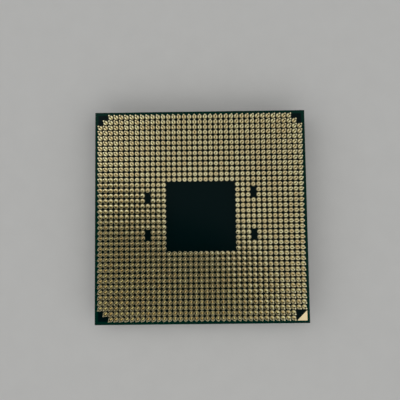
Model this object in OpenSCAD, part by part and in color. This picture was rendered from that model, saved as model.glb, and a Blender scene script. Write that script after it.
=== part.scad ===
// Pin grid array processor, resting on its lid with the contact pins up.
// Millimetres, +Z up, origin at the middle of the lid's outer face.
// Grid places are counted in pin pitches from the middle of the package.

/* [Pin grid] */
// Distance between neighbouring pins
pin_pitch = 1.0; // [0.9:0.05:1.3]
// Pins along each side of the full grid
grid_n = 39; // [33:2:43]
// Pins left out along each side of the empty middle
void_n = 13; // [7:2:17]
// Pins left out along each edge at a corner
corner_n = 2; // [1:1:4]
// Pins left out in each keying gap
key_n = 2; // [1:1:3]
// Columns of the keying gaps, counted from the middle
key_column = 10; // [9:1:14]
// Outermost pin centre to the edge of the package
edge_margin = 1.0; // [0.7:0.05:2]

/* [Contact pin] */
// Diameter of the pin's shaft
pin_d = 0.3; // [0.2:0.01:0.4]
// Height of the pin above the substrate
pin_h = 2.0; // [1.2:0.1:3]
// Diameter of the nail head
head_d = 0.7; // [0.6:0.02:0.86]
// Thickness of the nail head at its rim
head_rim_t = 0.09; // [0.03:0.01:0.1]
// Thickness of the nail head under its flat face
head_t = 0.11; // [0.09:0.01:0.2]
// Width of the bevel from the head's rim to its flat face
head_bevel = 0.02; // [0.01:0.01:0.06]
// Height and width of the fillet between head and shaft
pin_fillet = 0.03; // [0.02:0.01:0.09]
// Height and width of the bevel at the pin's tip
tip_bevel = 0.06; // [0.02:0.01:0.09]

/* [Pin solder] */
// Width of the solder mask between neighbouring solder pads
mask_web = 0.07; // [0.04:0.01:0.12]
// Thickness of the solder at the edge of its pad
solder_rim_t = 0.01; // [0.005:0.005:0.02]

/* [Substrate] */
// Thickness of the laminate board
substrate_t = 1.2; // [0.8:0.1:1.8]

/* [Heat spreader] */
// Edge of the package to the side of the lid
lid_setback = 1.25; // [0.8:0.05:2]
// Thickness of the lid over the die
lid_plate_t = 2.0; // [1.2:0.1:3]
// Width of the lid's rim around the cavity
lid_rim_w = 3.5; // [2.6:0.1:4.5]
// Length cut from each side at the lid's corners
lid_corner_cut = 3.0; // [1.5:0.1:4]
// Height and width of the bevel around the lid's outer face
lid_bevel = 0.4; // [0.1:0.05:0.8]
// Corner radius of the lid's cavity
cavity_r = 2.0; // [0.5:0.1:3]

/* [Sealant] */
// Thickness of the bead between lid and substrate
sealant_t = 0.12; // [0.05:0.01:0.25]
// Edge of the lid's rim to the side of the bead
bead_inset = 0.75; // [0.3:0.05:1]
// Width of the vent left open in the bead
vent_w = 4.0; // [1:0.5:8]

/* [Die] */
// Length of the die
die_l = 20.0; // [14:0.5:24]
// Width of the die
die_w = 10.4; // [6:0.2:16]
// Thickness of the die
die_t = 0.78; // [0.6:0.02:0.9]
// Height of the solder bumps between die and substrate
bump_h = 0.08; // [0.05:0.01:0.12]
// Height and width of the underfill along the die's sides
underfill_leg = 0.5; // [0.2:0.05:0.6]
// Thickness of the solder between die and lid
solder_t = 0.25; // [0.1:0.01:0.4]
// Width of solder that flows out past the die
solder_spread = 0.3; // [0:0.05:0.6]

/* [Capacitors] */
// Length over the end terminals
cap_l = 1.0; // [0.6:0.1:1.6]
// Width of a capacitor
cap_w = 0.5; // [0.3:0.05:0.8]
// Height of a capacitor
cap_h = 0.5; // [0.3:0.05:0.6]
// Length of each end terminal
terminal_l = 0.25; // [0.1:0.05:0.28]
// Step from the terminals down to the ceramic body
terminal_step = 0.02; // [0.01:0.01:0.05]
// Distance between capacitors in a row
cap_pitch = 1.6; // [1:0.1:3]
// Foot of the underfill to the nearest terminal
cap_clearance = 0.6; // [0.2:0.1:1]

/* [Corner marker] */
// Edge of the package to the legs of the triangle
marker_inset = 0.5; // [0.2:0.05:0.9]
// Tips of the triangle to the nearest solder pads
marker_clearance = 0.14; // [0.1:0.02:0.4]
// Thickness of the plated triangle
marker_t = 0.03; // [0.02:0.01:0.06]

/* [Hidden] */
$fn = 48;
SIDES = [0 : 90 : 270];
ROW_LETTERS = "abcdefghjklmnprtuvwy";

// Pin grid and package
span = (grid_n - 1) / 2;
package_w = 2 * (span * pin_pitch + edge_margin);
pad_d = pin_pitch - mask_web;
// Each keying gap is a column and the lowest row that it leaves out
KEY_GAPS = [[-key_column, 3], [-key_column, -4], [key_column, 4], [key_column, -4]];

// Heat spreader and sealant
lid_w = package_w - 2 * lid_setback;
lid_corner_apothem = (lid_w - lid_corner_cut) / sqrt(2);
cavity_w = lid_w - 2 * lid_rim_w;
bead_w = lid_rim_w - 2 * bead_inset;
bead_outer_w = lid_w - 2 * bead_inset;
// Radius at which the bead keeps its inset from the lid's cut corners
bead_outer_r = lid_corner_cut / (2 - sqrt(2)) - bead_inset;
bead_inner_r = max(bead_outer_r - bead_w, cavity_r);

// Levels, from the lid's outer face upwards
die_z = lid_plate_t + solder_t;
bump_z = die_z + die_t;
board_z = bump_z + bump_h;
lid_h = board_z - sealant_t;
pin_z = board_z + substrate_t;

// Capacitors stand in one row along each side of the die
cap_offset = underfill_leg + cap_clearance + cap_l / 2;
cap_rows = [[die_l, die_w, 0], [die_w, die_l, 90], [die_l, die_w, 180], [die_w, die_l, 270]];

// The triangle fills the corner that the pins leave free
marker_leg = edge_margin - marker_inset + corner_n * pin_pitch - pad_d / 2 - marker_clearance;

function row_letters(i) =
    i < len(ROW_LETTERS)
        ? ROW_LETTERS[i]
        : str(ROW_LETTERS[floor(i / len(ROW_LETTERS)) - 1], ROW_LETTERS[i % len(ROW_LETTERS)]);

function row_name(i) = str("pin_row_", row_letters(i));

function within(value, start, count) = value >= start - 0.5 && value < start + count - 0.5;

function in_void(c, r) = max(abs(c), abs(r)) < void_n / 2;

function in_key_gap(c, r) =
    len([for (gap = KEY_GAPS) if (within(c, gap[0], 1) && within(r, gap[1], key_n)) gap]) > 0;

function in_marker_corner(c, r) = min(c, -r) > span - corner_n;

function in_free_corner(c, r) = abs(c) + abs(r) > 2 * span - corner_n;

function has_pin(c, r) =
    !in_void(c, r) && !in_key_gap(c, r) && !in_marker_corner(c, r) && !in_free_corner(c, r);

// Rectangle with round corners, made of true arcs
module rounded_rectangle(w, l, r) {
    square([w - 2 * r, l], center = true);
    square([w, l - 2 * r], center = true);
    for (x = [-1, 1], y = [-1, 1])
        translate([x * (w / 2 - r), y * (l / 2 - r)])
            circle(r);
}

// Bar that bevels a straight edge, at a distance from the middle and a turn about Z
module bevel_bar(apothem, turn, leg, length) {
    rotate(turn)
        translate([apothem, 0, 0])
            rotate([0, 45, 0])
                cube([leg * sqrt(2), length, leg * sqrt(2)], center = true);
}

module lid_outline() {
    intersection() {
        square(lid_w, center = true);
        rotate(45)
            square(2 * lid_corner_apothem, center = true);
    }
}

// Nail-head pin standing on z = 0
module contact_pin() {
    pin_r = pin_d / 2;
    rotate_extrude($fn = 24)
        polygon([
            [0, 0],
            [head_d / 2, 0],
            [head_d / 2, head_rim_t],
            [head_d / 2 - head_bevel, head_t],
            [pin_r + pin_fillet, head_t],
            [pin_r, head_t + pin_fillet],
            [pin_r, pin_h - tip_bevel],
            [pin_r - tip_bevel, pin_h],
            [0, pin_h]
        ]);
}

// Solder that climbs from its pad to the rim of a nail head, standing on z = 0
module solder_fillet() {
    rotate_extrude($fn = 24)
        polygon([
            [head_d / 2, 0],
            [pad_d / 2, 0],
            [pad_d / 2, solder_rim_t],
            [head_d / 2, head_rim_t]
        ]);
}

// Places its children on the board at each pin of a row, counted from the middle
module at_each_pin(r) {
    for (c = [-span : span])
        if (has_pin(c, r))
            translate([c * pin_pitch, r * pin_pitch, pin_z])
                children();
}

// Places its children at each capacitor, with X along the length and Z away from the board
module at_each_capacitor() {
    for (row = cap_rows) {
        count = floor(row[0] / cap_pitch);
        for (i = [0 : count - 1])
            rotate(row[2])
                translate([(i - (count - 1) / 2) * cap_pitch, row[1] / 2 + cap_offset, board_z])
                    rotate([180, 0, 90])
                        children();
    }
}

// Right-angled triangle in the marker corner, on z = 0
module corner_triangle() {
    corner = package_w / 2 - marker_inset;
    linear_extrude(marker_t)
        polygon([[corner, -corner], [corner, marker_leg - corner], [corner - marker_leg, -corner]]);
}

module package_substrate() {
    color("#0b2a28")
        translate([-package_w / 2, -package_w / 2, board_z])
            cube([package_w, package_w, substrate_t]);
}

module heat_spreader() {
    color("#b4b3ae")
        difference() {
            linear_extrude(lid_h)
                lid_outline();
            translate([0, 0, lid_plate_t])
                linear_extrude(lid_h)
                    rounded_rectangle(cavity_w, cavity_w, cavity_r);
            for (turn = SIDES) {
                bevel_bar(lid_w / 2, turn, lid_bevel, 2 * lid_w);
                bevel_bar(lid_corner_apothem, turn + 45, lid_bevel, 2 * lid_w);
            }
        }
}

module lid_sealant() {
    inner_w = bead_outer_w - 2 * bead_w;
    color("#2b2b2b")
        translate([0, 0, lid_h])
            linear_extrude(sealant_t)
                difference() {
                    rounded_rectangle(bead_outer_w, bead_outer_w, bead_outer_r);
                    rounded_rectangle(inner_w, inner_w, bead_inner_r);
                    translate([-vent_w / 2, -package_w / 2])
                        square([vent_w, package_w / 2]);
                }
}

module silicon_die() {
    color("#5b5f6b")
        translate([-die_l / 2, -die_w / 2, die_z])
            cube([die_l, die_w, die_t]);
}

// Layer around the bumps, with a sloped fillet up the die's sides
module die_underfill() {
    l = die_l + 2 * underfill_leg;
    w = die_w + 2 * underfill_leg;
    color("#3a3226")
        difference() {
            translate([-l / 2, -w / 2, bump_z - underfill_leg])
                cube([l, w, underfill_leg + bump_h]);
            translate([-die_l / 2, -die_w / 2, bump_z - die_t])
                cube([die_l, die_w, die_t]);
            translate([0, 0, bump_z - underfill_leg])
                for (half_turn = [0, 180]) {
                    bevel_bar(l / 2, half_turn, underfill_leg, 2 * w);
                    bevel_bar(w / 2, half_turn + 90, underfill_leg, 2 * l);
                }
        }
}

module thermal_solder() {
    l = die_l + 2 * solder_spread;
    w = die_w + 2 * solder_spread;
    color("#c9ccd0")
        translate([-l / 2, -w / 2, lid_plate_t])
            cube([l, w, solder_t]);
}

module capacitor_bodies() {
    body_l = cap_l - 2 * terminal_l;
    body_w = cap_w - 2 * terminal_step;
    body_h = cap_h - 2 * terminal_step;
    color("#8a6f55")
        at_each_capacitor()
            translate([-body_l / 2, -body_w / 2, terminal_step])
                cube([body_l, body_w, body_h]);
}

module capacitor_terminals() {
    color("#c4c4c0")
        at_each_capacitor()
            for (end = [-cap_l / 2, cap_l / 2 - terminal_l])
                translate([end, -cap_w / 2, 0])
                    cube([terminal_l, cap_w, cap_h]);
}

module pin_one_marker() {
    color("#e3c878")
        translate([0, 0, pin_z])
            corner_triangle();
}

module lid_side_marker() {
    color("#e3c878")
        translate([0, 0, board_z - marker_t])
            corner_triangle();
}

// A separate ring of solder around every pin's head
module pin_solder() {
    color("#a39d8c")
        for (r = [-span : span])
            at_each_pin(r)
                solder_fillet();
}

// One row of pins along X, the first row next to the marker's edge
module pin_row(i) {
    color("#cfa953")
        at_each_pin(i - span)
            contact_pin();
}

package_substrate();
heat_spreader();
lid_sealant();
silicon_die();
die_underfill();
thermal_solder();
capacitor_bodies();
capacitor_terminals();
pin_one_marker();
lid_side_marker();
pin_solder();
for (i = [0 : grid_n - 1])
    pin_row(i);
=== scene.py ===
# %% [markdown]
# # A pin grid array processor, dressed for the camera
# The processor lies on its metal lid with the contact pins up. Its solids come packed in a frame that is
# never moved, and each cell below adds one surface or one finish to it. The frame gives every place and
# size, so a new piece needs no fitting: it is made where the solid already is.

# %% Load the frame and keep its box
import math

import bmesh
import bpy
import numpy as np
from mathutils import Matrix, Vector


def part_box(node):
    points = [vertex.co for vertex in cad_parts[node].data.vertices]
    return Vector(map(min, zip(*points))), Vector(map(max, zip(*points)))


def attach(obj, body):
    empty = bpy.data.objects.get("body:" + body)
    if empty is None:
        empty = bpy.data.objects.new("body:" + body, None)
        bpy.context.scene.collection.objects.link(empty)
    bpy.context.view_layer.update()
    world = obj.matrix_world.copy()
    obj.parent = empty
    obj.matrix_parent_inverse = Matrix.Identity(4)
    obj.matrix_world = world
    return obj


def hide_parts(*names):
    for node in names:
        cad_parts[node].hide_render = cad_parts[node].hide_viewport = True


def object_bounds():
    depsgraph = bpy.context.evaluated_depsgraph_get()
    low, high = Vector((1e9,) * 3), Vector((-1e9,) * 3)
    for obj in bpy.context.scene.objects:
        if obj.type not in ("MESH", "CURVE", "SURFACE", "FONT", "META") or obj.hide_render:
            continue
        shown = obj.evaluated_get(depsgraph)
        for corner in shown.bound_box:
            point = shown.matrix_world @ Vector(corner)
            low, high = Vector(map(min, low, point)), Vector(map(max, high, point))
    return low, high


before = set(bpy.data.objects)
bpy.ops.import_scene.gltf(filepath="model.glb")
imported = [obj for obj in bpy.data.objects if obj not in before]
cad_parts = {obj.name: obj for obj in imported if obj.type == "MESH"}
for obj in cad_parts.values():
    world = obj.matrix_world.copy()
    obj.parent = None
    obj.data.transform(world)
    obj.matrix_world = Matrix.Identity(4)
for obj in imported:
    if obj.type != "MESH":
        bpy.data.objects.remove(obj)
cad_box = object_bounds()
MM = 0.001
pin_rows = sorted(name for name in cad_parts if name.startswith("pin_row_"))
print("solids", len(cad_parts), "of which pin rows", len(pin_rows))

# %% [markdown]
# ## Colours and nodes
# Paint charts and colour pickers give sRGB values, while a shader adds light in linear ones, so one
# function converts them. A second one adds a node, sets it up and links it in a single call, which keeps
# each finish below short enough to read as a recipe.

# %% Colour and node helpers
def srgb(code):
    """Linear colour of a hex code: c / 12.92 near black, else ((c + 0.055) / 1.055) to the power 2.4."""
    c = np.array([int(code[i:i + 2], 16) for i in (1, 3, 5)]) / 255
    linear = np.where(c <= 0.04045, c / 12.92, ((c + 0.055) / 1.055) ** 2.4)
    return (*linear.tolist(), 1.0)


def add_node(tree, kind, inputs=None, **settings):
    """Adds a node of a kind with its settings. An input is given by name or number, as a value or a link."""
    node = tree.nodes.new(kind)
    for name, value in settings.items():
        setattr(node, name, value)
    for name, value in (inputs or {}).items():
        if isinstance(value, bpy.types.NodeSocket):
            tree.links.new(value, node.inputs[name])
        else:
            node.inputs[name].default_value = value
    return node


def new_finish(name):
    """A material with only its output and shader, as (material, node tree, shader)."""
    material = bpy.data.materials.new(name)
    material.use_nodes = True
    tree = material.node_tree
    tree.nodes.clear()
    shader = add_node(tree, "ShaderNodeBsdfPrincipled")
    add_node(tree, "ShaderNodeOutputMaterial", {"Surface": shader.outputs["BSDF"]})
    return material, tree, shader


# A Mix node set to colours has its two colours and its result at these places
COLOUR_A, COLOUR_B, COLOUR_OUT = 6, 7, 2
print("mid grey in linear light", round(srgb("#808080")[0], 3))

# %% [markdown]
# ## Gold plating on the pins
# The pins are copper alloy wire, headed like nails and then plated with nickel and a thin coat of hard
# gold in a tumbling barrel. Hard gold holds a little cobalt, so it is paler and greener than jewellery.
# Barrel plating is bright but never quite even: each pin comes out with its own tone and sheen. A number
# kept on each pin's points drives both, because a pattern in space would run across several pins.

# %% Bright hard gold, barrel plated
# Gives the eye a mirror-like cream yellow that turns brown where it reflects dark things
PLATING_WAVE_MM = 0.25
PLATING_WAVE_HEIGHT_MM = 0.006
bright_gold, tree, shader = new_finish("hard_gold_barrel_plated")
tone = add_node(tree, "ShaderNodeAttribute", attribute_name="pin_tone")
colour = add_node(
    tree,
    "ShaderNodeMix",
    {0: tone.outputs["Fac"], COLOUR_A: srgb("#e9e4b9"), COLOUR_B: srgb("#dfcea0")},
    data_type="RGBA",
)
sheen = add_node(
    tree,
    "ShaderNodeMapRange",
    {"Value": tone.outputs["Fac"], "To Min": 0.03, "To Max": 0.08},
)
place = add_node(tree, "ShaderNodeTexCoord")
waves = add_node(
    tree,
    "ShaderNodeTexNoise",
    {"Vector": place.outputs["Object"], "Scale": 1 / (PLATING_WAVE_MM * MM), "Detail": 2.0},
)
relief = add_node(
    tree,
    "ShaderNodeBump",
    {"Height": waves.outputs["Fac"], "Strength": 0.5, "Distance": PLATING_WAVE_HEIGHT_MM * MM},
)
tree.links.new(colour.outputs[COLOUR_OUT], shader.inputs["Base Color"])
tree.links.new(sheen.outputs["Result"], shader.inputs["Roughness"])
tree.links.new(relief.outputs["Normal"], shader.inputs["Normal"])
shader.inputs["Metallic"].default_value = 1.0
# Even seen along its surface, gold stays a little yellow
shader.inputs["Specular Tint"].default_value = srgb("#f8f0e0")
print("finish", bright_gold.name)

# %% [markdown]
# ## Solder mask and the cut edge of the board
# The board is glass cloth and resin with copper layers, coated on both faces with a green lacquer called
# solder mask. Over the copper planes the lacquer looks almost black. The planes stop short of the board's
# edge, and there the paler resin shines through as teal. The mask has a faint orange peel from the way it
# flows before it is cured. The sides are sawn, so they show the layers as stripes.

# %% Solder mask, screened and cured
# Gives the eye a deep wet green-black with a teal border
board_low, board_high = (np.array(corner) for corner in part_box("package_substrate"))
PLANE_SETBACK_MM = 0.62
PLANE_EDGE_BLUR_MM = 0.04
ORANGE_PEEL_MM = 0.35
ORANGE_PEEL_HEIGHT_MM = 0.01
solder_mask, tree, shader = new_finish("solder_mask_screened")
place = add_node(tree, "ShaderNodeTexCoord")
axes = add_node(tree, "ShaderNodeSeparateXYZ", {"Vector": place.outputs["Object"]})
across = add_node(tree, "ShaderNodeMath", {0: axes.outputs["X"]}, operation="ABSOLUTE")
along = add_node(tree, "ShaderNodeMath", {0: axes.outputs["Y"]}, operation="ABSOLUTE")
farthest = add_node(
    tree,
    "ShaderNodeMath",
    {0: across.outputs["Value"], 1: along.outputs["Value"]},
    operation="MAXIMUM",
)
plane_edge = float(board_high[0]) - PLANE_SETBACK_MM * MM
border = add_node(
    tree,
    "ShaderNodeMapRange",
    {
        "Value": farthest.outputs["Value"],
        "From Min": plane_edge - PLANE_EDGE_BLUR_MM * MM,
        "From Max": plane_edge + PLANE_EDGE_BLUR_MM * MM,
    },
)
colour = add_node(
    tree,
    "ShaderNodeMix",
    {0: border.outputs["Result"], COLOUR_A: srgb("#001314"), COLOUR_B: srgb("#002b22")},
    data_type="RGBA",
)
peel = add_node(
    tree,
    "ShaderNodeTexNoise",
    {"Vector": place.outputs["Object"], "Scale": 1 / (ORANGE_PEEL_MM * MM), "Detail": 1.0},
)
sheen = add_node(
    tree,
    "ShaderNodeMapRange",
    {"Value": peel.outputs["Fac"], "To Min": 0.1, "To Max": 0.16},
)
relief = add_node(
    tree,
    "ShaderNodeBump",
    {"Height": peel.outputs["Fac"], "Strength": 0.2, "Distance": ORANGE_PEEL_HEIGHT_MM * MM},
)
tree.links.new(colour.outputs[COLOUR_OUT], shader.inputs["Base Color"])
tree.links.new(sheen.outputs["Result"], shader.inputs["Roughness"])
tree.links.new(relief.outputs["Normal"], shader.inputs["Normal"])
shader.inputs["IOR"].default_value = 1.5
shader.inputs["Specular IOR Level"].default_value = 0.05
print("copper planes end", round(plane_edge / MM, 2), "mm from the middle")

# %% Glass epoxy laminate, sawn
# Gives the eye dull green stripes of resin and glass with thin copper lines between them
LAYERS_EACH_SIDE = 3
THREAD_MM = 0.08
THREAD_HEIGHT_MM = 0.01
# Shares of the half thickness: the core, a copper foil, and all that lies under the mask
CORE_SHARE = 0.66
FOIL_SHARE = 0.03
LAMINATE_SHARE = 0.97
sawn_laminate, tree, shader = new_finish("glass_epoxy_sawn")
place = add_node(tree, "ShaderNodeTexCoord")
axes = add_node(tree, "ShaderNodeSeparateXYZ", {"Vector": place.outputs["Object"]})
height = add_node(
    tree,
    "ShaderNodeMapRange",
    {
        "Value": axes.outputs["Z"],
        "From Min": float(board_low[2]),
        "From Max": float(board_high[2]),
        "To Min": -1.0,
        "To Max": 1.0,
    },
)
from_middle = add_node(tree, "ShaderNodeMath", {0: height.outputs["Result"]}, operation="ABSOLUTE")
layers = add_node(tree, "ShaderNodeValToRGB", {"Fac": from_middle.outputs["Value"]})
layers.color_ramp.interpolation = "CONSTANT"
layers.color_ramp.elements[0].color = srgb("#3c4a2c")
layers.color_ramp.elements[1].position = LAMINATE_SHARE
layers.color_ramp.elements[1].color = srgb("#06201d")
for i in range(LAYERS_EACH_SIDE):
    start = CORE_SHARE + (LAMINATE_SHARE - CORE_SHARE) * i / LAYERS_EACH_SIDE
    layers.color_ramp.elements.new(start).color = srgb("#6b4a2b")
    layers.color_ramp.elements.new(start + FOIL_SHARE).color = srgb("#1c2b20")
threads = add_node(
    tree,
    "ShaderNodeTexNoise",
    {"Vector": place.outputs["Object"], "Scale": 1 / (THREAD_MM * MM), "Detail": 3.0},
)
dust = add_node(
    tree,
    "ShaderNodeMapRange",
    {"Value": threads.outputs["Fac"], "From Min": 0.35, "From Max": 0.8, "To Max": 0.5},
)
colour = add_node(
    tree,
    "ShaderNodeMix",
    {0: dust.outputs["Result"], COLOUR_A: layers.outputs["Color"], COLOUR_B: srgb("#5d6b4a")},
    data_type="RGBA",
)
relief = add_node(
    tree,
    "ShaderNodeBump",
    {"Height": threads.outputs["Fac"], "Strength": 0.4, "Distance": THREAD_HEIGHT_MM * MM},
)
tree.links.new(colour.outputs[COLOUR_OUT], shader.inputs["Base Color"])
tree.links.new(relief.outputs["Normal"], shader.inputs["Normal"])
shader.inputs["Roughness"].default_value = 0.68
shader.inputs["IOR"].default_value = 1.5
print("laminate layers", 2 * LAYERS_EACH_SIDE + 1)

# %% [markdown]
# ## Outlines with round corners
# Board, lid, sealant and triangles are all flat-sided outlines with corners. Each is described by the
# directions its sides face and how far each side is from the origin. A corner is then the arc, of one
# radius, that turns from one side's direction to the next. Moving every side inwards by the same amount
# gives a parallel outline, so a whole piece is a short profile carried round its outline.

# %% Outlines
def outline(facing, distance, radius, steps):
    """Points round an outline whose sides face angles `facing` at `distance` from the origin.

    Each corner's centre is where its two sides, moved in by the radius, cross. Its points are the centre
    plus the radius times (cos t, sin t), with t going from one side's angle to the next. A column of radii,
    with a row of distances for each, gives a whole stack of rings at once.
    """
    turn = np.diff(np.append(facing, facing[0] + 2 * np.pi))
    normal = np.stack([np.cos(facing), np.sin(facing)], -1)
    pair = np.stack([normal, np.roll(normal, -1, axis=0)], 1)
    inner = distance - radius
    reach = np.stack([inner, np.roll(inner, -1, axis=-1)], -1)
    centre = np.linalg.solve(pair, reach[..., None])
    t = facing[:, None] + turn[:, None] * np.linspace(0, 1, steps)
    arc = np.stack([np.cos(t), np.sin(t)], -1)
    points = centre.swapaxes(-1, -2) + np.asarray(radius)[..., None, None] * arc
    return points.reshape(*points.shape[:-3], -1, 2)


EIGHT_SIDES = np.radians(np.arange(0, 360, 45))


def cut_square(half, cut):
    """Distances of the eight sides of a square whose corners are cut off by `cut` along each edge."""
    return np.where(np.arange(8) % 2 == 0, half, (2 * half - cut) / math.sqrt(2))


def round_square(half, radius, steps):
    """Outline of a square with round corners, as eight eighth-turn arcs that meet in pairs."""
    return outline(EIGHT_SIDES, cut_square(half, (2 - math.sqrt(2)) * radius), radius, steps)


print("a 10 mm round square has", len(round_square(5, 1, 4)), "points")

# %% [markdown]
# ## Profiles carried round an outline
# Real edges are never quite sharp, and a thin line of light along them tells the eye so. A Bevel modifier
# could break them, but here the roundness is already in the profile: each of its points is a ring, which is
# the outline moved in by one amount and up by another. Faces then join ring to ring and close both ends.

# %% Profiles and faces
def soften(profile, reach, steps=4):
    """A polyline with each inner corner P replaced by the curve (1-s)^2 A + 2 s (1-s) P + s^2 B.

    A and B lie on the two straight stretches, `reach` away from P. One more point on each side, twice as
    far away, keeps the stretches between the corners flat when they are shaded smoothly.
    """
    before, corner, after = profile[:-2], profile[1:-1], profile[2:]
    back = (before - corner) / np.linalg.norm(before - corner, axis=1, keepdims=True)
    ahead = (after - corner) / np.linalg.norm(after - corner, axis=1, keepdims=True)
    a, b = corner + reach * back, corner + reach * ahead
    s = np.linspace(0, 1, steps)[None, :, None]
    curve = (1 - s) ** 2 * a[:, None] + 2 * s * (1 - s) * corner[:, None] + s**2 * b[:, None]
    hold_a, hold_b = (corner + 2 * reach * back)[:, None], (corner + 2 * reach * ahead)[:, None]
    rounded = np.concatenate([hold_a, curve, hold_b], axis=1).reshape(-1, 2)
    return np.concatenate([profile[:1], rounded, profile[-1:]])


def ring_faces(rings, columns):
    """Quads between each ring of points and the next, every ring closed on itself."""
    i, j = np.meshgrid(np.arange(rings - 1), np.arange(columns), indexing="ij")
    right = (j + 1) % columns
    quads = [i * columns + j, i * columns + right, (i + 1) * columns + right, (i + 1) * columns + j]
    return np.stack(quads, -1).reshape(-1, 4)


def end_faces(rings, columns):
    """The two faces that close the first ring and the last one."""
    first = np.arange(columns)[::-1]
    last = np.arange(columns) + (rings - 1) * columns
    return np.stack([first, last])


def capped_faces(rings, columns):
    """Quads between rings, then the faces that close both ends."""
    return ring_faces(rings, columns).tolist() + end_faces(rings, columns).tolist()


def levels(rings, z):
    """Joins flat rings and their heights to one array of points, ring by ring."""
    high = np.broadcast_to(np.asarray(z)[:, None, None], (*rings.shape[:2], 1))
    return np.concatenate([rings, high], -1)


print("three rings of four points have", len(capped_faces(3, 4)), "faces")

# %% [markdown]
# ## From arrays to a piece
# Every surface ends as an object whose mesh already lies in its place, so the object is never moved or
# turned. Shading is smooth, and only edges that turn by more than a set angle stay hard, which keeps bevels
# crisp with few faces. Each piece also hides the solid of the frame that it stands for and takes the
# finishes it is given.

# %% Pieces
CREASE_DEGREES = 40
SAME_POINT_MM = 0.0001


def make_piece(name, points, faces, node, *finishes):
    """Puts points and faces into an object that rides on the part and stands for a solid of the frame.

    Arcs that meet, or that have shrunk to a corner, leave points in one place, and these are merged.
    """
    mesh = bpy.data.meshes.new(name)
    mesh.from_pydata(points.reshape(-1, 3).tolist(), [], faces)
    shape = bmesh.new()
    shape.from_mesh(mesh)
    bmesh.ops.remove_doubles(shape, verts=shape.verts, dist=SAME_POINT_MM * MM)
    shape.to_mesh(mesh)
    shape.free()
    mesh.polygons.foreach_set("use_smooth", np.ones(len(mesh.polygons), bool))
    mesh.set_sharp_from_angle(angle=math.radians(CREASE_DEGREES))
    for finish in finishes:
        mesh.materials.append(finish)
    piece = bpy.data.objects.new(name, mesh)
    bpy.context.scene.collection.objects.link(piece)
    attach(piece, "root")
    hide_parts(node)
    return piece


print("edges that turn by over", CREASE_DEGREES, "degrees stay hard")

# %% [markdown]
# ## The laminate board
# The board is a plain square slab, so a cube would do. Its edges catch the light only because they aren't
# sharp, though: sawing and handling break them by a few hundredths of a millimetre. So a profile that goes
# from the lower face round the side to the upper face is carried along a square with slightly round
# corners. The faces of its side stretch get the sawn finish and all the others the solder mask.

# %% Board
EDGE_BREAK_MM = 0.05
CORNER_RADIUS_MM = 0.12
FACE_STRIP_MM = 0.5
CORNER_STEPS = 5
# Faces whose outward direction rises or falls by less than this belong to the sawn sides
SIDE_TILT = 0.1
half = float(board_high[0])
low, high = float(board_low[2]), float(board_high[2])
profile = soften(
    np.array([[FACE_STRIP_MM * MM, low], [0, low], [0, high], [FACE_STRIP_MM * MM, high]]),
    EDGE_BREAK_MM * MM,
)
inset = profile[:, :1]
rings = round_square(half - inset, np.maximum(CORNER_RADIUS_MM * MM - inset, 0), CORNER_STEPS)
faces = capped_faces(*rings.shape[:2])
board = make_piece(
    "laminate_board", levels(rings, profile[:, 1]), faces, "package_substrate", solder_mask, sawn_laminate
)
facing = np.empty(len(board.data.polygons) * 3)
board.data.polygons.foreach_get("normal", facing)
sideways = np.abs(facing.reshape(-1, 3)[:, 2]) < SIDE_TILT
board.data.polygons.foreach_set("material_index", sideways.astype(np.int32))
print("board", round(2 * half / MM, 2), "mm square,", round((high - low) / MM, 2), "mm thick")

# %% [markdown]
# ## The contact pins
# There are over a thousand pins, so each one has to be light. A pin is a body of revolution, headed from
# wire like a nail: a bevelled and very slightly domed head, a fillet, the shaft and a bevelled tip. The dome
# is too low to see, but it bends the light: one side of a head mirrors other things than its far side.
# Spinning one profile and copying the object would work, but whole rows are quicker as one array, with
# profile, angle and pin as three axes of it. The tips of the solids say where the pins of a row stand.

# %% Pin profile
PIN_SIDES = 10
HEAD_RADIUS_MM = 0.35
HEAD_RIM_MM = 0.09
HEAD_TOP_MM = 0.11
HEAD_BEVEL_MM = 0.02
HEAD_DOME_MM = 0.004
SHAFT_RADIUS_MM = 0.15
FILLET_MM = 0.03
TIP_BEVEL_MM = 0.06
pin_foot = high
pin_height_mm = (float(cad_box[1][2]) - pin_foot) / MM


def spin(profile):
    """Rings of points round Z: (r cos t, r sin t, z) for each radius r and height z, in mm."""
    t = np.linspace(0, 2 * np.pi, PIN_SIDES, endpoint=False)
    r, z = profile[:, :1], profile[:, 1:]
    rings = np.stack([r * np.cos(t), r * np.sin(t), np.broadcast_to(z, (len(z), PIN_SIDES))], -1)
    return MM * rings.reshape(-1, 3)


pin_profile = np.array(
    [
        [HEAD_RADIUS_MM, 0],
        [HEAD_RADIUS_MM, HEAD_RIM_MM],
        [HEAD_RADIUS_MM - HEAD_BEVEL_MM, HEAD_TOP_MM],
        [SHAFT_RADIUS_MM + FILLET_MM, HEAD_TOP_MM + HEAD_DOME_MM],
        [SHAFT_RADIUS_MM, HEAD_TOP_MM + HEAD_DOME_MM + FILLET_MM],
        [SHAFT_RADIUS_MM, pin_height_mm - TIP_BEVEL_MM],
        [SHAFT_RADIUS_MM - TIP_BEVEL_MM, pin_height_mm],
    ]
)
one_pin = spin(pin_profile)
print("a pin is", round(pin_height_mm, 2), "mm high and has", len(one_pin), "points")

# %% Pin rows
TIP_LEVEL_MM = 0.001
NEXT_PIN_MM = 0.5
TONE_SEED = 7


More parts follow.
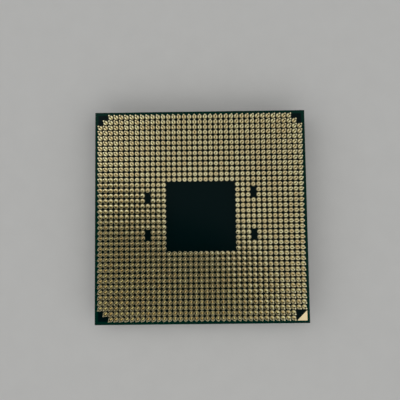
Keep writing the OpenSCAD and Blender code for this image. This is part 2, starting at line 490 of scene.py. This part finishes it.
def pin_centres(node):
    """Where a row's pins stand: its topmost points, split wherever the next is over half a millimetre on."""
    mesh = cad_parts[node].data
    co = np.empty(len(mesh.vertices) * 3)
    mesh.vertices.foreach_get("co", co)
    co = co.reshape(-1, 3)
    tips = co[co[:, 2] > co[:, 2].max() - TIP_LEVEL_MM * MM]
    tips = tips[np.argsort(tips[:, 0])]
    # The place before the first point is far to the left, so the first pin counts as a new one too
    first = np.flatnonzero(np.diff(tips[:, 0], prepend=-np.inf) > NEXT_PIN_MM * MM)
    last = np.append(first[1:], len(tips)) - 1
    x = (tips[first, 0] + tips[last, 0]) / 2
    y = (co[:, 1].min() + co[:, 1].max()) / 2
    return np.stack([x, np.full(len(x), y), np.full(len(x), pin_foot)], -1)


def repeated(faces, points_each, count):
    """The faces of one shape for all its copies, each copy's numbers moved on by the points before it."""
    starts = np.arange(count)[:, None, None] * points_each
    return (starts + faces).reshape(-1, faces.shape[1]).tolist()


pin_quads = ring_faces(len(pin_profile), PIN_SIDES)
pin_ends = end_faces(len(pin_profile), PIN_SIDES)
row_centres = {node: pin_centres(node) for node in pin_rows}
draw = np.random.default_rng(TONE_SEED)
for node, centres in row_centres.items():
    pins = len(centres)
    faces = repeated(pin_quads, len(one_pin), pins) + repeated(pin_ends, len(one_pin), pins)
    name = node.replace("pin_row", "gold_pins")
    row = make_piece(name, centres[:, None] + one_pin, faces, node, bright_gold)
    tones = row.data.attributes.new("pin_tone", "FLOAT", "POINT")
    tones.data.foreach_set("value", np.repeat(draw.random(pins), len(one_pin)))
print("pins", sum(map(len, row_centres.values())))

# %% [markdown]
# ## The solder round the pin heads
# Each head sits on a round pad of the board in solder that has been melted, has crept up the head's rim and
# has frozen as a small slope. The pads nearly touch, so from above the dull slopes link the bright heads
# along both directions of the grid and only leave dark diamonds of solder mask between four pins. One slope
# is a ring with four corners in its section, and all of them are one array again.

# %% Tin solder, reflowed
# Gives the eye a soft grey-gold gleam, much duller than the heads beside it
SOLDER_GRAIN_MM = 0.1
tin_solder, tree, shader = new_finish("tin_solder_reflowed")
place = add_node(tree, "ShaderNodeTexCoord")
grain = add_node(
    tree,
    "ShaderNodeTexNoise",
    {"Vector": place.outputs["Object"], "Scale": 1 / (SOLDER_GRAIN_MM * MM), "Detail": 2.0},
)
colour = add_node(
    tree,
    "ShaderNodeMix",
    {0: grain.outputs["Fac"], COLOUR_A: srgb("#b6ae8c"), COLOUR_B: srgb("#c8c19e")},
    data_type="RGBA",
)
tree.links.new(colour.outputs[COLOUR_OUT], shader.inputs["Base Color"])
shader.inputs["Roughness"].default_value = 0.55
shader.inputs["Metallic"].default_value = 1.0
print("finish", tin_solder.name)

# %% Solder fillets
PAD_RADIUS_MM = 0.465
SOLDER_RIM_MM = 0.01
fillet_section = np.array(
    [
        [HEAD_RADIUS_MM, 0],
        [PAD_RADIUS_MM, 0],
        [PAD_RADIUS_MM, SOLDER_RIM_MM],
        [HEAD_RADIUS_MM, HEAD_RIM_MM],
    ]
)
one_fillet = spin(fillet_section)
# A ring after the last would be the first again, so its numbers start over
fillet_quads = ring_faces(len(fillet_section) + 1, PIN_SIDES) % len(one_fillet)
centres = np.concatenate(list(row_centres.values()))
faces = repeated(fillet_quads, len(one_fillet), len(centres))
make_piece("solder_fillets", centres[:, None] + one_fillet, faces, "pin_solder", tin_solder)
print("solder fillets", len(centres))

# %% [markdown]
# ## The corner triangles
# A gold triangle on each face marks the corner where pin one is. It is a pad of the outer copper layer,
# plated like the pins and left free of solder mask, so it stands proud of the board by a hair. Three sides
# and a low profile make it, and its flat face is polished less than the pins.

# %% Immersion gold on the pads
# Gives the eye an even, flat cream with the faint grain of the copper below. The real grain is finer, and
# this one is drawn as coarse as it needs to be to show
PAD_GRAIN_MM = 0.12
PAD_GRAIN_HEIGHT_MM = 0.004
pad_gold, tree, shader = new_finish("pad_gold_immersion_plated")
place = add_node(tree, "ShaderNodeTexCoord")
grain = add_node(
    tree,
    "ShaderNodeTexNoise",
    {"Vector": place.outputs["Object"], "Scale": 1 / (PAD_GRAIN_MM * MM), "Detail": 3.0},
)
colour = add_node(
    tree,
    "ShaderNodeMix",
    {0: grain.outputs["Fac"], COLOUR_A: srgb("#fae3b0"), COLOUR_B: srgb("#fdebc2")},
    data_type="RGBA",
)
sheen = add_node(
    tree,
    "ShaderNodeMapRange",
    {"Value": grain.outputs["Fac"], "To Min": 0.08, "To Max": 0.14},
)
relief = add_node(
    tree,
    "ShaderNodeBump",
    {"Height": grain.outputs["Fac"], "Strength": 0.2, "Distance": PAD_GRAIN_HEIGHT_MM * MM},
)
tree.links.new(colour.outputs[COLOUR_OUT], shader.inputs["Base Color"])
tree.links.new(sheen.outputs["Result"], shader.inputs["Roughness"])
tree.links.new(relief.outputs["Normal"], shader.inputs["Normal"])
shader.inputs["Metallic"].default_value = 1.0
print("finish", pad_gold.name)

# %% Triangles
PAD_CORNER_MM = 0.05
PAD_EDGE_MM = 0.006
PAD_STRIP_MM = 0.1
TRIANGLE_SIDES = np.radians([0.0, 135.0, 270.0])
for name, node in [("pin_one_triangle", "pin_one_marker"), ("lid_side_triangle", "lid_side_marker")]:
    low_corner, high_corner = (np.array(corner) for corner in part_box(node))
    # The slope faces 135 degrees and goes through the triangle's upper right tip
    slope_distance = (high_corner[1] - high_corner[0]) / math.sqrt(2)
    sides = np.array([high_corner[0], slope_distance, -low_corner[1]])
    strip = PAD_STRIP_MM * MM
    profile = soften(
        np.array([[strip, low_corner[2]], [0, low_corner[2]], [0, high_corner[2]], [strip, high_corner[2]]]),
        PAD_EDGE_MM * MM,
    )
    inset = profile[:, :1]
    rings = outline(TRIANGLE_SIDES, sides - inset, np.maximum(PAD_CORNER_MM * MM - inset, 0), CORNER_STEPS)
    make_piece(name, levels(rings, profile[:, 1]), capped_faces(*rings.shape[:2]), node, pad_gold)
print("triangle legs", round((high_corner[0] - low_corner[0]) / MM, 2), "mm")

# %% [markdown]
# ## The lid
# The lid spreads the die's heat. It is stamped and coined from thick copper sheet and plated with nickel,
# with cut corners, a bevel round its flat outer face and a shallow cavity for the die. The same profile
# method makes it: the outer profile runs along an outline with cut corners, and the cavity's along a round
# square with as many points, so that the rim joins them ring to ring.

# %% Nickel plating over coined copper
# Gives the eye a satin silver-grey with a fine one-way grain from the sheet's rolling. The real rolling
# lines are finer, and these are drawn as coarse as they need to be to show
GRAIN_WIDTH_MM = 0.12
GRAIN_LENGTH_MM = 8.0
GRAIN_HEIGHT_MM = 0.01
CLOUD_MM = 6.0
satin_nickel, tree, shader = new_finish("nickel_satin_plated")
place = add_node(tree, "ShaderNodeTexCoord")
stretch = add_node(
    tree,
    "ShaderNodeMapping",
    {
        "Vector": place.outputs["Object"],
        "Scale": (1 / (GRAIN_LENGTH_MM * MM), 1 / (GRAIN_WIDTH_MM * MM), 1 / (GRAIN_WIDTH_MM * MM)),
    },
)
lines = add_node(
    tree, "ShaderNodeTexNoise", {"Vector": stretch.outputs["Vector"], "Scale": 1.0, "Detail": 3.0}
)
cloud = add_node(
    tree,
    "ShaderNodeTexNoise",
    {"Vector": place.outputs["Object"], "Scale": 1 / (CLOUD_MM * MM), "Detail": 3.0},
)
colour = add_node(
    tree,
    "ShaderNodeMix",
    {0: cloud.outputs["Fac"], COLOUR_A: srgb("#aeaba4"), COLOUR_B: srgb("#c2bfb6")},
    data_type="RGBA",
)
sheen = add_node(
    tree,
    "ShaderNodeMapRange",
    {"Value": lines.outputs["Fac"], "From Min": 0.3, "From Max": 0.7, "To Min": 0.26, "To Max": 0.44},
)
relief = add_node(
    tree,
    "ShaderNodeBump",
    {"Height": lines.outputs["Fac"], "Strength": 0.15, "Distance": GRAIN_HEIGHT_MM * MM},
)
tree.links.new(colour.outputs[COLOUR_OUT], shader.inputs["Base Color"])
tree.links.new(sheen.outputs["Result"], shader.inputs["Roughness"])
tree.links.new(relief.outputs["Normal"], shader.inputs["Normal"])
shader.inputs["Metallic"].default_value = 1.0
print("finish", satin_nickel.name)

# %% Lid
LID_CORNER_CUT_MM = 3.0
LID_BEVEL_MM = 0.4
LID_FACE_STRIP_MM = 1.6
LID_CORNER_RADIUS_MM = 0.3
LID_SOFT_EDGE_MM = 0.06
LID_RIM_MM = 3.5
CAVITY_RADIUS_MM = 2.0
lid_high = np.array(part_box("heat_spreader")[1])
lid_half, lid_top = float(lid_high[0]), float(lid_high[2])
cavity_floor = float(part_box("thermal_solder")[0][2])
bevel = LID_BEVEL_MM * MM
profile = soften(
    np.array([[LID_FACE_STRIP_MM * MM, 0], [bevel, 0], [0, bevel], [0, lid_top], [bevel, lid_top]]),
    LID_SOFT_EDGE_MM * MM,
)
lid_sides = cut_square(lid_half, LID_CORNER_CUT_MM * MM)
inset = profile[:, :1]
corner_radius = np.maximum(LID_CORNER_RADIUS_MM * MM - inset, 0)
outer = outline(EIGHT_SIDES, lid_sides - inset, corner_radius, CORNER_STEPS)
cavity = round_square(lid_half - LID_RIM_MM * MM, CAVITY_RADIUS_MM * MM, CORNER_STEPS)
rings = np.concatenate([outer, cavity[None], cavity[None]])
heights = np.concatenate([profile[:, 1], [lid_top, cavity_floor]])
make_piece(
    "nickel_lid", levels(rings, heights), capped_faces(*rings.shape[:2]), "heat_spreader", satin_nickel
)
print("lid", round(2 * lid_half / MM, 2), "mm wide,", round(lid_top / MM, 2), "mm high")

# %% [markdown]
# ## The sealant bead
# A bead of silicone, laid by a needle and squeezed flat, holds the lid to the board. A gap in it lets the
# cavity breathe while the package is soldered. Squeezing makes its sides bulge, so its section is a flat
# band with round sides, carried along the bead's outline from one side of the gap to the other.

# %% Silicone sealant, cured
# Gives the eye a soft dark grey that never shines
PORE_MM = 0.2
PORE_HEIGHT_MM = 0.02
silicone, tree, shader = new_finish("silicone_sealant_cured")
place = add_node(tree, "ShaderNodeTexCoord")
pores = add_node(
    tree,
    "ShaderNodeTexNoise",
    {"Vector": place.outputs["Object"], "Scale": 1 / (PORE_MM * MM), "Detail": 3.0},
)
colour = add_node(
    tree,
    "ShaderNodeMix",
    {0: pores.outputs["Fac"], COLOUR_A: srgb("#1f2022"), COLOUR_B: srgb("#343537")},
    data_type="RGBA",
)
relief = add_node(
    tree,
    "ShaderNodeBump",
    {"Height": pores.outputs["Fac"], "Strength": 0.3, "Distance": PORE_HEIGHT_MM * MM},
)
tree.links.new(colour.outputs[COLOUR_OUT], shader.inputs["Base Color"])
tree.links.new(relief.outputs["Normal"], shader.inputs["Normal"])
shader.inputs["Roughness"].default_value = 0.62
shader.inputs["IOR"].default_value = 1.41
print("finish", silicone.name)

# %% Bead
BEAD_WIDTH_MM = 2.0
BEAD_INSET_MM = 0.75
VENT_WIDTH_MM = 4.0
CORNERS_BEFORE_GAP = 6
SECTION_STEPS = 6
bead_low, bead_high = (np.array(corner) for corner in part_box("lid_sealant"))
bead_half = float(bead_high[0])
bead_radius = LID_CORNER_CUT_MM * MM / (2 - math.sqrt(2)) - BEAD_INSET_MM * MM
bulge = (bead_high[2] - bead_low[2]) / 2
# Section, as inset from the bead's outer side and height: half circles at both sides, flats between them
t = np.linspace(-np.pi / 2, np.pi / 2, SECTION_STEPS)
outer_side = np.stack([bulge * (1 - np.cos(t)), bulge * np.sin(t)], -1)
inner_side = np.stack([BEAD_WIDTH_MM * MM - bulge * (1 - np.cos(t)), -bulge * np.sin(t)], -1)
section = np.concatenate([outer_side, inner_side])
inset = section[:, :1]
paths = round_square(bead_half - inset, bead_radius - inset, CORNER_STEPS)
# The side towards -Y is the seventh, so its gap lies between the sixth corner and the seventh
paths = np.roll(paths, -CORNERS_BEFORE_GAP * CORNER_STEPS, axis=1)
gap_side = np.concatenate([np.full_like(inset, VENT_WIDTH_MM / 2 * MM), inset - bead_half], -1)
paths = np.concatenate([gap_side[:, None], paths, (gap_side * [-1, 1])[:, None]], axis=1)
height = (bead_low[2] + bead_high[2]) / 2 + section[:, 1]
points = levels(paths, height).transpose(1, 0, 2)
faces = capped_faces(*points.shape[:2])
make_piece("sealant_bead", points, [face[::-1] for face in faces], "lid_sealant", silicone)
print("bead", round(2 * bulge / MM, 2), "mm thick, with a gap of", VENT_WIDTH_MM, "mm")

# %% [markdown]
# ## The pieces inside
# Under the lid lie the silicon die, the resin round its solder bumps, the indium that joins it to the lid
# and the capacitors that feed it. They are plain blocks on the real thing too, so the frame's own solids
# stay and only get finishes. One recipe serves all: two close colours mixed by a grain of the right size.

# %% Finishes of the inner pieces
INNER_GRAIN_HEIGHT_MM = 0.01


def grained_finish(name, dark, light, grain_mm, metallic, roughness, ior=None):
    """A finish whose colour and relief follow one noise of a given grain."""
    material, tree, shader = new_finish(name)
    place = add_node(tree, "ShaderNodeTexCoord")
    grain = add_node(
        tree,
        "ShaderNodeTexNoise",
        {"Vector": place.outputs["Object"], "Scale": 1 / (grain_mm * MM), "Detail": 3.0},
    )
    colour = add_node(
        tree,
        "ShaderNodeMix",
        {0: grain.outputs["Fac"], COLOUR_A: srgb(dark), COLOUR_B: srgb(light)},
        data_type="RGBA",
    )
    relief = add_node(
        tree,
        "ShaderNodeBump",
        {"Height": grain.outputs["Fac"], "Strength": 0.2, "Distance": INNER_GRAIN_HEIGHT_MM * MM},
    )
    tree.links.new(colour.outputs[COLOUR_OUT], shader.inputs["Base Color"])
    tree.links.new(relief.outputs["Normal"], shader.inputs["Normal"])
    shader.inputs["Metallic"].default_value = metallic
    shader.inputs["Roughness"].default_value = roughness
    if ior:
        shader.inputs["IOR"].default_value = ior
    return material


inner_finishes = {
    # A polished wafer looks like dark blue-grey glass
    "silicon_die": grained_finish("silicon_polished", "#3b3f48", "#454a55", 1.5, 0.0, 0.12, 3.9),
    # Resin filled with glass powder is dark brown and slightly cloudy
    "die_underfill": grained_finish("epoxy_filled_cured", "#231d17", "#3a3127", 0.15, 0.0, 0.35, 1.5),
    # Indium freezes to a soft white metal with visible crystals
    "thermal_solder": grained_finish("indium_reflowed", "#bfc3c8", "#d6d9dc", 0.6, 1.0, 0.38),
    # Fired ceramic is matt and speckled
    "capacitor_bodies": grained_finish("ceramic_fired", "#7a5f48", "#937860", 0.1, 0.0, 0.55, 1.6),
    # Dipped tin is bright and a little uneven
    "capacitor_terminals": grained_finish("tin_dipped", "#bdbcb6", "#d2d1ca", 0.2, 1.0, 0.3),
}
for node, finish in inner_finishes.items():
    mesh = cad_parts[node].data
    mesh.materials.clear()
    mesh.materials.append(finish)
print("inner pieces", len(inner_finishes))

# %% [markdown]
# ## Floor and light
# The part lies on a pale matt floor. Polished gold shows what stands round it more than its own colour, so
# the light matters most here. It is a white tent: bright walls that get darker at the foot and towards the
# back, a somewhat dimmer top, a window in the top's left side, and a dark cloth over its front left, where
# a photographer would stand. A pin head mirrors one small part of the top, so the heads that mirror the
# cloth come out dark and the others bright. Low down, where a camera can look, a plain pale backdrop hides
# the walls from the camera, and metal and glass show that backdrop too.

# %% Floor
# Gives the eye an even pale grey with a trace of paper fibre
FLOOR_SIZE_MM = 1600
FIBRE_MM = 4.0
pale_floor, tree, shader = new_finish("card_pale_matt")
place = add_node(tree, "ShaderNodeTexCoord")
fibres = add_node(
    tree,
    "ShaderNodeTexNoise",
    {"Vector": place.outputs["Object"], "Scale": 1 / (FIBRE_MM * MM), "Detail": 4.0},
)
colour = add_node(
    tree,
    "ShaderNodeMix",
    {0: fibres.outputs["Fac"], COLOUR_A: srgb("#cfcfcd"), COLOUR_B: srgb("#d5d5d3")},
    data_type="RGBA",
)
tree.links.new(colour.outputs[COLOUR_OUT], shader.inputs["Base Color"])
shader.inputs["Roughness"].default_value = 0.8
corners = FLOOR_SIZE_MM / 2 * MM * np.array([[-1, -1, 0], [1, -1, 0], [1, 1, 0], [-1, 1, 0]])
floor_mesh = bpy.data.meshes.new("floor")
floor_mesh.from_pydata(corners.tolist(), [], [[0, 1, 2, 3]])
floor_mesh.materials.append(pale_floor)
floor = bpy.data.objects.new("floor", floor_mesh)
bpy.context.scene.collection.objects.link(floor)
print("floor", FLOOR_SIZE_MM, "mm square")

# %% Soft edges of the light tent
WALL_BRIGHTNESS = 1.05
FOOT_BRIGHTNESS = 0.3
BACK_SHARE = 0.15
TOP_BRIGHTNESS = 0.79
WINDOW_BRIGHTNESS = 1.2
# Directions along the floor in which the tent changes: to the right, to the back and to the window
TENT_AXES = [(1.0, 0.5, 0.0), (0.3, 1.0, 0.0), (-1.0, 0.2, 0.0)]
world = bpy.data.worlds.new("light_tent")
world.use_nodes = True
bpy.context.scene.world = world
tree = world.node_tree
tree.nodes.clear()
direction = add_node(tree, "ShaderNodeTexCoord").outputs["Generated"]
upwards = add_node(tree, "ShaderNodeSeparateXYZ", {"Vector": direction}).outputs["Z"]
along_axes = [
    add_node(tree, "ShaderNodeVectorMath", {0: direction, 1: axis}, operation="DOT_PRODUCT")
    for axis in TENT_AXES
]
rightwards, backwards, windowwards = (node.outputs["Value"] for node in along_axes)
# Each soft edge of the tent: what it follows, where it starts and ends, and its values there
soft_edges = {
    "left": (rightwards, 0.09, 0.0, 0.0, 1.0),
    "front": (backwards, 0.0, -0.03, 0.0, 1.0),
    "window": (windowwards, 0.1, 0.2, TOP_BRIGHTNESS, WINDOW_BRIGHTNESS),
    "foot": (upwards, 0.1, 0.5, FOOT_BRIGHTNESS, WALL_BRIGHTNESS),
    "back": (backwards, 0.1, 0.85, 1.0, BACK_SHARE),
    "top": (upwards, 0.72, 0.86, 0.0, 1.0),
    "backdrop": (upwards, 0.45, 0.6, 1.0, 0.0),
}
edge_inputs = ["Value", "From Min", "From Max", "To Min", "To Max"]
edge = {
    name: add_node(
        tree, "ShaderNodeMapRange", dict(zip(edge_inputs, setting)), interpolation_type="SMOOTHSTEP"
    ).outputs["Result"]
    for name, setting in soft_edges.items()
}
print("soft edges in the tent", len(edge))

# %% Glow of the light tent
CLOTH_BRIGHTNESS = 0.02
BACKDROP_BRIGHTNESS = 0.6
# A Mix node set to numbers has its two numbers at these places
NUMBER_A, NUMBER_B = 2, 3
cloth = add_node(tree, "ShaderNodeMath", {0: edge["left"], 1: edge["front"]}, operation="MULTIPLY")
walls = add_node(tree, "ShaderNodeMath", {0: edge["foot"], 1: edge["back"]}, operation="MULTIPLY")
rays = add_node(tree, "ShaderNodeLightPath")
# The backdrop shows to the camera itself, in what metal mirrors and in what glass lets through
mirrored = add_node(
    tree,
    "ShaderNodeMath",
    {0: rays.outputs["Is Glossy Ray"], 1: rays.outputs["Is Transmission Ray"]},
    operation="MAXIMUM",
)
seen = add_node(
    tree,
    "ShaderNodeMath",
    {0: rays.outputs["Is Camera Ray"], 1: mirrored.outputs["Value"]},
    operation="MAXIMUM",
)
backdrop = add_node(
    tree, "ShaderNodeMath", {0: seen.outputs["Value"], 1: edge["backdrop"]}, operation="MULTIPLY"
)
top = add_node(
    tree,
    "ShaderNodeMix",
    {0: cloth.outputs["Value"], NUMBER_A: edge["window"], NUMBER_B: CLOTH_BRIGHTNESS},
    data_type="FLOAT",
)
tent = add_node(
    tree,
    "ShaderNodeMix",
    {0: edge["top"], NUMBER_A: walls.outputs["Value"], NUMBER_B: top.outputs["Result"]},
    data_type="FLOAT",
)
strength = add_node(
    tree,
    "ShaderNodeMix",
    {0: backdrop.outputs["Value"], NUMBER_A: tent.outputs["Result"], NUMBER_B: BACKDROP_BRIGHTNESS},
    data_type="FLOAT",
)
glow = add_node(
    tree,
    "ShaderNodeBackground",
    {"Color": srgb("#ffffff"), "Strength": strength.outputs["Result"]},
)
add_node(tree, "ShaderNodeOutputWorld", {"Surface": glow.outputs["Background"]})
print("nodes in the tent", len(tree.nodes))

# %% [markdown]
# ## The camera
# The picture is taken from a hand's width above the pins, almost straight down. A camera with no rotation
# looks down with +Y at the top of the picture, so three small angles are enough to turn it. The lens is
# given as its distance in pixels from a picture 400 pixels wide, and a small shift says that the picture
# was cut from a slightly larger one. Depth of field stays off.

# %% Camera
PICTURE_PX = 400
FOCAL_PX = 492.8
SENSOR_MM = 36.0
CAMERA_PLACE_MM = np.array([0.4, -0.5, 97.4])
CAMERA_TURN_DEGREES = (4.24, 0.60, -0.70)
PICTURE_SHIFT = (0.0054, -0.0444)
NEAREST_MM = 1.0
lens = bpy.data.cameras.new("camera")
lens.sensor_width = SENSOR_MM
lens.lens = FOCAL_PX / PICTURE_PX * SENSOR_MM
lens.shift_x, lens.shift_y = PICTURE_SHIFT
lens.clip_start = NEAREST_MM * MM
camera = bpy.data.objects.new("camera", lens)
camera.location = CAMERA_PLACE_MM * MM
camera.rotation_euler = np.radians(CAMERA_TURN_DEGREES)
bpy.context.scene.collection.objects.link(camera)
bpy.context.scene.camera = camera
bpy.context.scene.view_settings.view_transform = "Standard"
print("lens", round(lens.lens, 1), "mm")
